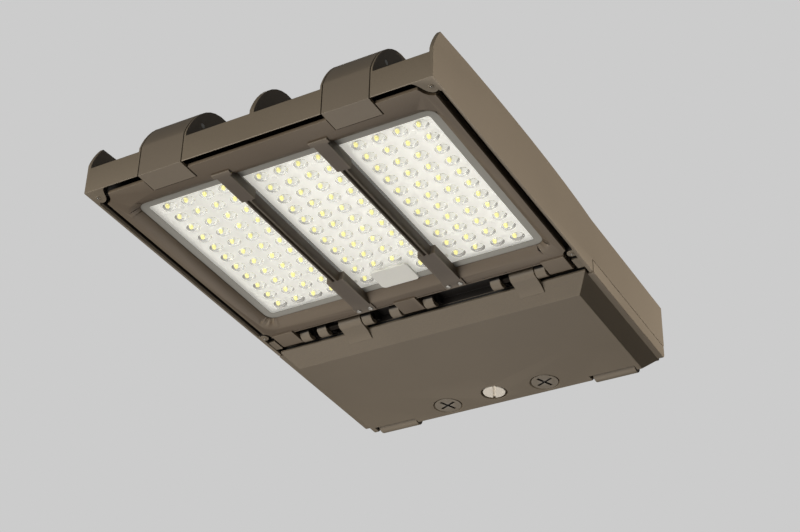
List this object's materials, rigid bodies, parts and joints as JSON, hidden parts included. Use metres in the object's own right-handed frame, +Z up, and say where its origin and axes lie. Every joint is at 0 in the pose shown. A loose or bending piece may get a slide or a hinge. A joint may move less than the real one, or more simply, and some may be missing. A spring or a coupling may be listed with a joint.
{
  "type": "shoebox area light",
  "caption": "Flat cast LED area light with a hinged optical frame held by nose latches and a hinged driver-bay door with captive fasteners; bolts to a pole arm.",
  "frame": {"origin": "centre of the arm bolt pattern, on the rear face", "axes": "+Y out of the rear (arm) face, the nose points to -Y; +Z up, the light shines to -Z; +X across the body"},
  "size_m": [0.33, 0.476, 0.0905],
  "materials": {
    "bronze": "die-cast aluminium with a textured dark bronze powder coat",
    "bronze_dark": "die-cast aluminium with a textured dark bronze powder coat",
    "clear_lens": "clear moulded optic",
    "frosted": "frosted plastic",
    "silicone": "dark silicone",
    "board": "white solder mask",
    "phosphor": "yellow phosphor in clear silicone",
    "steel": "zinc-plated steel",
    "bare_head": "bare stainless steel",
    "driver_can": "satin aluminium can",
    "black_plastic": "black plastic",
    "white_plastic": "white plastic",
    "lead_white": "lead insulation",
    "lead_black": "lead insulation"
  },
  "bodies": {
    "housing": {"housing": "bronze", "led_board_left": "board", "led_board_mid": "board", "led_board_right": "board", "led_packages": "phosphor", "board_screws": "steel", "board_jumpers": "white_plastic", "hinge_pins": "steel", "corner_screws": "steel", "latch_pins": "steel", "latch_springs": "steel", "stud_receptacles": "steel", "driver": "driver_can", "driver_screws": "steel", "surge_protector": "black_plastic", "terminal_block": "white_plastic", "led_leads": "lead_white", "supply_leads": "lead_black", "grommets": "silicone"},
    "frame": {"optical_frame": "bronze_dark", "lens_gasket": "silicone", "frame_seal": "silicone", "lens_left": "clear_lens", "lens_mid": "clear_lens", "lens_right": "clear_lens", "lens_screws": "steel", "connector_cover": "frosted", "divider_left": "bronze_dark", "divider_right": "bronze_dark", "divider_screws": "steel"},
    "door": {"driver_door": "bronze", "door_gasket": "silicone", "stud_sleeves": "steel"},
    "latch_left": {"latch_left": "bronze"},
    "latch_right": {"latch_right": "bronze"},
    "door_stud_left": {"door_stud_left": "bronze"},
    "door_stud_right": {"door_stud_right": "bronze"},
    "quarter_turn": {"quarter_turn": "bare_head"}
  },
  "joints": [
    {"name": "frame_hinge", "type": "hinge", "parent": "housing", "child": "frame", "pos_m": [0, -0.19, -0.037], "axis": [1, 0, 0], "range_deg": [0, 65]},
    {"name": "door_hinge", "type": "hinge", "parent": "housing", "child": "door", "pos_m": [0, -0.19, -0.037], "axis": [-1, 0, 0], "range_deg": [0, 55]},
    {"name": "latch_left_pivot", "type": "hinge", "parent": "housing", "child": "latch_left", "pos_m": [-0.088, -0.455, 0.008], "axis": [-1, 0, 0], "range_deg": [0, 90]},
    {"name": "latch_right_pivot", "type": "hinge", "parent": "housing", "child": "latch_right", "pos_m": [0.088, -0.455, 0.008], "axis": [-1, 0, 0], "range_deg": [0, 90]},
    {"name": "stud_left_turn", "type": "hinge", "parent": "door", "child": "door_stud_left", "pos_m": [-0.053, -0.0335, -0.047], "axis": [0, 0, 1], "range_deg": [0, 90]},
    {"name": "stud_right_turn", "type": "hinge", "parent": "door", "child": "door_stud_right", "pos_m": [0.053, -0.0335, -0.047], "axis": [0, 0, 1], "range_deg": [0, 90]},
    {"name": "quarter_turn_turn", "type": "hinge", "parent": "door", "child": "quarter_turn", "pos_m": [0, -0.037, -0.047], "axis": [0, 0, 1], "range_deg": [0, 90]}
  ]
}
